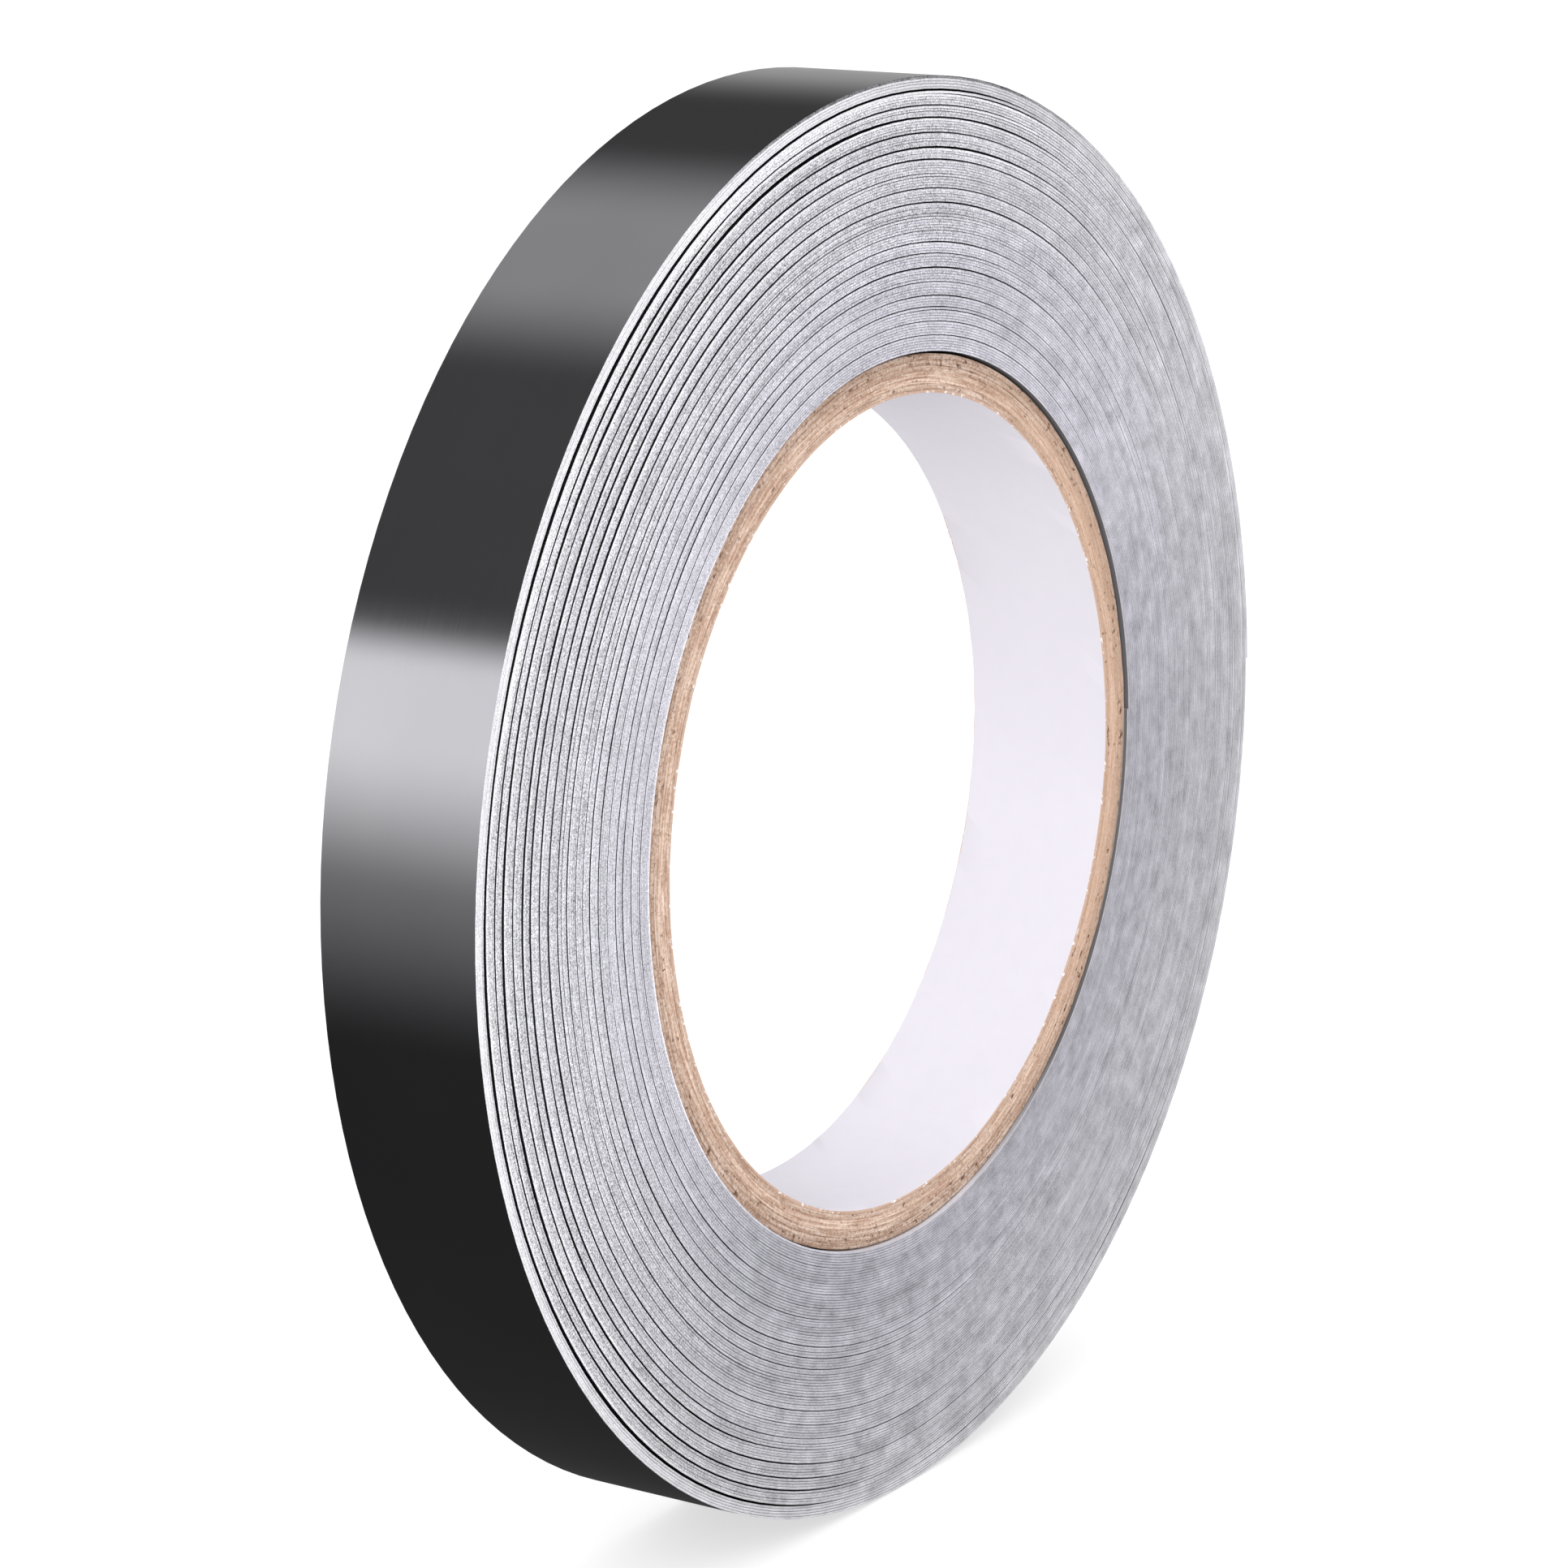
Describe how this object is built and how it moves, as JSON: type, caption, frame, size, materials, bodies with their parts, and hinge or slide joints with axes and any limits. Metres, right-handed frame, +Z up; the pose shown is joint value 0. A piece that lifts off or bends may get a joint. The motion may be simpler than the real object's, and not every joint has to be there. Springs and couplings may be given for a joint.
{
  "type": "foil tape roll",
  "caption": "Roll of dark glossy adhesive-backed metal foil tape with a paper release liner, wound on a thick kraft paper core, with a loose end that lifts and peels.",
  "frame": {"origin": "centre of the core's bore, halfway across the tape's width", "axes": "+Z up as the roll stands on its rim, Y along the roll's axis with the front face towards -Y, the loose end of the tape at +X"},
  "size_m": [0.1336, 0.016, 0.1335],
  "materials": {
    "bore_paper": "smooth white paper",
    "kraft_board": "raw kraft board, fibrous at its cut ends",
    "release_paper": "silicone-coated white paper",
    "adhesive_film": "clear tacky acrylic film",
    "dark_foil": "glossy dark gunmetal foil"
  },
  "bodies": {
    "wound_roll": {"core_bore_ply": "bore_paper", "core_kraft_ply_1": "kraft_board", "core_kraft_ply_2": "kraft_board", "core_kraft_ply_3": "kraft_board", "core_kraft_ply_4": "kraft_board", "core_kraft_ply_5": "kraft_board", "core_kraft_ply_6": "kraft_board", "starter_strip": "adhesive_film", "release_liner": "release_paper", "adhesive": "adhesive_film", "foil": "dark_foil"},
    "tape_tail": {"tail_release_liner": "release_paper", "tail_adhesive": "adhesive_film", "tail_foil": "dark_foil"},
    "peeled_foil": {"peel_adhesive": "adhesive_film", "peel_foil": "dark_foil"}
  },
  "joints": [
    {"name": "tail_lift", "type": "hinge", "parent": "wound_roll", "child": "tape_tail", "pos_m": [0.05132, 0, 0.04296], "axis": [0, -1, 0], "range_deg": [0, 60]},
    {"name": "foil_peel", "type": "hinge", "parent": "tape_tail", "child": "peeled_foil", "pos_m": [0.05913, 0, 0.03138], "axis": [0, -1, 0], "range_deg": [0, 110]}
  ]
}
